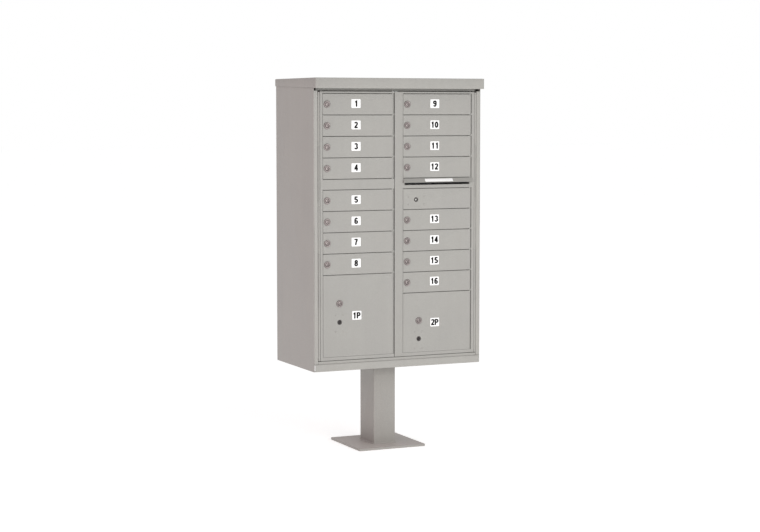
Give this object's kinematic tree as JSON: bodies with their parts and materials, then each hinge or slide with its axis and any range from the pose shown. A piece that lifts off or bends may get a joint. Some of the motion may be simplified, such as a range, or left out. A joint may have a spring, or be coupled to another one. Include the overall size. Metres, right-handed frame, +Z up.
{
  "type": "pedestal cluster mailbox unit",
  "caption": "Free-standing grey steel cluster mailbox on a pedestal: two master doors with tenant doors, parcel lockers, locks and a hooded outgoing mail slot.",
  "frame": {"origin": "on the floor under the middle of the unit's bounding box", "axes": "+Z up, the doors face -Y, +X to the right of someone facing the doors"},
  "size_m": [0.78, 0.4572, 1.5811],
  "materials": {
    "body_paint": "fine-textured grey powder coat, satin",
    "door_paint": "fine-textured grey powder coat, satin",
    "pedestal_paint": "fine-textured grey powder coat, satin",
    "rack_sheet": "mill finish sheet",
    "hinge_steel": "stainless rod",
    "latch_steel": "zinc-plated",
    "lock_nickel": "nickel-plated, satin",
    "label_white": "white label plate",
    "number_black": "printed numerals",
    "fastener_steel": "plated screws and rivets",
    "keyhole_dark": "dark inside of a keyhole"
  },
  "bodies": {
    "cabinet": {"base_plate": "pedestal_paint", "pedestal_column": "pedestal_paint", "bottom_pan": "body_paint", "side_panel_left": "body_paint", "side_panel_right": "body_paint", "back_panel": "body_paint", "top_panel": "body_paint", "hood": "body_paint", "rack_left": "rack_sheet", "rack_right": "rack_sheet", "centre_post": "rack_sheet", "master_hinge_rod_left": "hinge_steel", "master_hinge_rod_right": "hinge_steel"},
    "left_master": {"master_frame_left": "door_paint", "door_hinge_rod_left": "hinge_steel"},
    "right_master": {"master_frame_right": "door_paint", "door_hinge_rod_right": "hinge_steel", "outgoing_panel": "door_paint", "mail_slot_hood": "door_paint"},
    "door_01": {"tenant_door_01": "door_paint"},
    "lock_01": {"tenant_lock_01": "lock_nickel"},
    "door_02": {"tenant_door_02": "door_paint"},
    "lock_02": {"tenant_lock_02": "lock_nickel"},
    "door_03": {"tenant_door_03": "door_paint"},
    "lock_03": {"tenant_lock_03": "lock_nickel"},
    "door_04": {"tenant_door_04": "door_paint"},
    "lock_04": {"tenant_lock_04": "lock_nickel"},
    "door_05": {"tenant_door_05": "door_paint"},
    "lock_05": {"tenant_lock_05": "lock_nickel"},
    "door_06": {"tenant_door_06": "door_paint"},
    "lock_06": {"tenant_lock_06": "lock_nickel"},
    "door_07": {"tenant_door_07": "door_paint"},
    "lock_07": {"tenant_lock_07": "lock_nickel"},
    "door_08": {"tenant_door_08": "door_paint"},
    "lock_08": {"tenant_lock_08": "lock_nickel"},
    "parcel_door_1": {"parcel_door_1": "door_paint"},
    "parcel_lock_1_tenant": {"parcel_lock_1_tenant": "lock_nickel"},
    "parcel_lock_1_carrier": {"parcel_lock_1_carrier": "lock_nickel"},
    "door_09": {"tenant_door_09": "door_paint"},
    "lock_09": {"tenant_lock_09": "lock_nickel"},
    "door_10": {"tenant_door_10": "door_paint"},
    "lock_10": {"tenant_lock_10": "lock_nickel"},
    "door_11": {"tenant_door_11": "door_paint"},
    "lock_11": {"tenant_lock_11": "lock_nickel"},
    "door_12": {"tenant_door_12": "door_paint"},
    "lock_12": {"tenant_lock_12": "lock_nickel"},
    "door_13": {"tenant_door_13": "door_paint"},
    "lock_13": {"tenant_lock_13": "lock_nickel"},
    "door_14": {"tenant_door_14": "door_paint"},
    "lock_14": {"tenant_lock_14": "lock_nickel"},
    "door_15": {"tenant_door_15": "door_paint"},
    "lock_15": {"tenant_lock_15": "lock_nickel"},
    "door_16": {"tenant_door_16": "door_paint"},
    "lock_16": {"tenant_lock_16": "lock_nickel"},
    "parcel_door_2": {"parcel_door_2": "door_paint"},
    "parcel_lock_2_tenant": {"parcel_lock_2_tenant": "lock_nickel"},
    "parcel_lock_2_carrier": {"parcel_lock_2_carrier": "lock_nickel"},
    "arrow_lock": {"arrow_lock": "latch_steel"},
    "latch_bar": {"latch_bar": "latch_steel"},
    "turn_latch": {"turn_latch": "latch_steel"}
  },
  "joints": [
    {"name": "left_master_swing", "type": "hinge", "parent": "cabinet", "child": "left_master", "pos_m": [-0.36225, -0.1956, 0.9606], "axis": [0, 0, -1], "range_deg": [0, 95]},
    {"name": "right_master_swing", "type": "hinge", "parent": "cabinet", "child": "right_master", "pos_m": [0.36225, -0.1956, 0.9606], "axis": [0, 0, 1], "range_deg": [0, 95]},
    {"name": "door_01_swing", "type": "hinge", "parent": "left_master", "child": "door_01", "pos_m": [-0.02845, -0.1966, 1.4723], "axis": [0, 0, 1], "range_deg": [0, 90]},
    {"name": "lock_01_turn", "type": "hinge", "parent": "door_01", "child": "lock_01", "pos_m": [-0.32605, -0.1992, 1.4723], "axis": [0, 1, 0], "range_deg": [0, 90]},
    {"name": "door_02_swing", "type": "hinge", "parent": "left_master", "child": "door_02", "pos_m": [-0.02845, -0.1966, 1.3837], "axis": [0, 0, 1], "range_deg": [0, 90]},
    {"name": "lock_02_turn", "type": "hinge", "parent": "door_02", "child": "lock_02", "pos_m": [-0.32605, -0.1992, 1.3837], "axis": [0, 1, 0], "range_deg": [0, 90]},
    {"name": "door_03_swing", "type": "hinge", "parent": "left_master", "child": "door_03", "pos_m": [-0.02845, -0.1966, 1.2951], "axis": [0, 0, 1], "range_deg": [0, 90]},
    {"name": "lock_03_turn", "type": "hinge", "parent": "door_03", "child": "lock_03", "pos_m": [-0.32605, -0.1992, 1.2951], "axis": [0, 1, 0], "range_deg": [0, 90]},
    {"name": "door_04_swing", "type": "hinge", "parent": "left_master", "child": "door_04", "pos_m": [-0.02845, -0.1966, 1.2065], "axis": [0, 0, 1], "range_deg": [0, 90]},
    {"name": "lock_04_turn", "type": "hinge", "parent": "door_04", "child": "lock_04", "pos_m": [-0.32605, -0.1992, 1.2065], "axis": [0, 1, 0], "range_deg": [0, 90]},
    {"name": "door_05_swing", "type": "hinge", "parent": "left_master", "child": "door_05", "pos_m": [-0.02845, -0.1966, 1.0733], "axis": [0, 0, 1], "range_deg": [0, 90]},
    {"name": "lock_05_turn", "type": "hinge", "parent": "door_05", "child": "lock_05", "pos_m": [-0.32605, -0.1992, 1.0733], "axis": [0, 1, 0], "range_deg": [0, 90]},
    {"name": "door_06_swing", "type": "hinge", "parent": "left_master", "child": "door_06", "pos_m": [-0.02845, -0.1966, 0.9847], "axis": [0, 0, 1], "range_deg": [0, 90]},
    {"name": "lock_06_turn", "type": "hinge", "parent": "door_06", "child": "lock_06", "pos_m": [-0.32605, -0.1992, 0.9847], "axis": [0, 1, 0], "range_deg": [0, 90]},
    {"name": "door_07_swing", "type": "hinge", "parent": "left_master", "child": "door_07", "pos_m": [-0.02845, -0.1966, 0.8961], "axis": [0, 0, 1], "range_deg": [0, 90]},
    {"name": "lock_07_turn", "type": "hinge", "parent": "door_07", "child": "lock_07", "pos_m": [-0.32605, -0.1992, 0.8961], "axis": [0, 1, 0], "range_deg": [0, 90]},
    {"name": "door_08_swing", "type": "hinge", "parent": "left_master", "child": "door_08", "pos_m": [-0.02845, -0.1966, 0.8075], "axis": [0, 0, 1], "range_deg": [0, 90]},
    {"name": "lock_08_turn", "type": "hinge", "parent": "door_08", "child": "lock_08", "pos_m": [-0.32605, -0.1992, 0.8075], "axis": [0, 1, 0], "range_deg": [0, 90]},
    {"name": "parcel_door_1_swing", "type": "hinge", "parent": "left_master", "child": "parcel_door_1", "pos_m": [-0.02845, -0.1966, 0.5909], "axis": [0, 0, 1], "range_deg": [0, 90]},
    {"name": "parcel_lock_1_tenant_turn", "type": "hinge", "parent": "parcel_door_1", "child": "parcel_lock_1_tenant", "pos_m": [-0.27105, -0.1992, 0.6431], "axis": [0, -1, 0], "range_deg": [0, 90]},
    {"name": "parcel_lock_1_carrier_turn", "type": "hinge", "parent": "parcel_door_1", "child": "parcel_lock_1_carrier", "pos_m": [-0.27105, -0.1992, 0.5648], "axis": [0, -1, 0], "range_deg": [0, 90]},
    {"name": "door_09_swing", "type": "hinge", "parent": "right_master", "child": "door_09", "pos_m": [0.33785, -0.1966, 1.4723], "axis": [0, 0, 1], "range_deg": [0, 90]},
    {"name": "lock_09_turn", "type": "hinge", "parent": "door_09", "child": "lock_09", "pos_m": [0.04025, -0.1992, 1.4723], "axis": [0, 1, 0], "range_deg": [0, 90]},
    {"name": "door_10_swing", "type": "hinge", "parent": "right_master", "child": "door_10", "pos_m": [0.33785, -0.1966, 1.3837], "axis": [0, 0, 1], "range_deg": [0, 90]},
    {"name": "lock_10_turn", "type": "hinge", "parent": "door_10", "child": "lock_10", "pos_m": [0.04025, -0.1992, 1.3837], "axis": [0, 1, 0], "range_deg": [0, 90]},
    {"name": "door_11_swing", "type": "hinge", "parent": "right_master", "child": "door_11", "pos_m": [0.33785, -0.1966, 1.2951], "axis": [0, 0, 1], "range_deg": [0, 90]},
    {"name": "lock_11_turn", "type": "hinge", "parent": "door_11", "child": "lock_11", "pos_m": [0.04025, -0.1992, 1.2951], "axis": [0, 1, 0], "range_deg": [0, 90]},
    {"name": "door_12_swing", "type": "hinge", "parent": "right_master", "child": "door_12", "pos_m": [0.33785, -0.1966, 1.2065], "axis": [0, 0, 1], "range_deg": [0, 90]},
    {"name": "lock_12_turn", "type": "hinge", "parent": "door_12", "child": "lock_12", "pos_m": [0.04025, -0.1992, 1.2065], "axis": [0, 1, 0], "range_deg": [0, 90]},
    {"name": "door_13_swing", "type": "hinge", "parent": "right_master", "child": "door_13", "pos_m": [0.33785, -0.1966, 0.9847], "axis": [0, 0, 1], "range_deg": [0, 90]},
    {"name": "lock_13_turn", "type": "hinge", "parent": "door_13", "child": "lock_13", "pos_m": [0.04025, -0.1992, 0.9847], "axis": [0, 1, 0], "range_deg": [0, 90]},
    {"name": "door_14_swing", "type": "hinge", "parent": "right_master", "child": "door_14", "pos_m": [0.33785, -0.1966, 0.8961], "axis": [0, 0, 1], "range_deg": [0, 90]},
    {"name": "lock_14_turn", "type": "hinge", "parent": "door_14", "child": "lock_14", "pos_m": [0.04025, -0.1992, 0.8961], "axis": [0, 1, 0], "range_deg": [0, 90]},
    {"name": "door_15_swing", "type": "hinge", "parent": "right_master", "child": "door_15", "pos_m": [0.33785, -0.1966, 0.8075], "axis": [0, 0, 1], "range_deg": [0, 90]},
    {"name": "lock_15_turn", "type": "hinge", "parent": "door_15", "child": "lock_15", "pos_m": [0.04025, -0.1992, 0.8075], "axis": [0, 1, 0], "range_deg": [0, 90]},
    {"name": "door_16_swing", "type": "hinge", "parent": "right_master", "child": "door_16", "pos_m": [0.33785, -0.1966, 0.7189], "axis": [0, 0, 1], "range_deg": [0, 90]},
    {"name": "lock_16_turn", "type": "hinge", "parent": "door_16", "child": "lock_16", "pos_m": [0.04025, -0.1992, 0.7189], "axis": [0, 1, 0], "range_deg": [0, 90]},
    {"name": "parcel_door_2_swing", "type": "hinge", "parent": "right_master", "child": "parcel_door_2", "pos_m": [0.33785, -0.1966, 0.5466], "axis": [0, 0, 1], "range_deg": [0, 90]},
    {"name": "parcel_lock_2_tenant_turn", "type": "hinge", "parent": "parcel_door_2", "child": "parcel_lock_2_tenant", "pos_m": [0.09525, -0.1992, 0.5544], "axis": [0, -1, 0], "range_deg": [0, 90]},
    {"name": "parcel_lock_2_carrier_turn", "type": "hinge", "parent": "parcel_door_2", "child": "parcel_lock_2_carrier", "pos_m": [0.09525, -0.1992, 0.4771], "axis": [0, -1, 0], "range_deg": [0, 90]},
    {"name": "arrow_lock_turn", "type": "hinge", "parent": "right_master", "child": "arrow_lock", "pos_m": [0.08205, -0.1992, 1.0706], "axis": [0, -1, 0], "range_deg": [0, 90]},
    {"name": "latch_bar_slide", "type": "slide", "parent": "right_master", "child": "latch_bar", "axis": [-1, 0, 0], "range_m": [0, 0.01796]},
    {"name": "turn_latch_turn", "type": "hinge", "parent": "left_master", "child": "turn_latch", "pos_m": [-0.04235, -0.1992, 1.1399], "axis": [0, -1, 0], "range_deg": [0, 90]}
  ],
  "couplings": [
    {"joint": "arrow_lock_turn", "follows": "latch_bar_slide", "rad_per_m": 87.458}
  ]
}
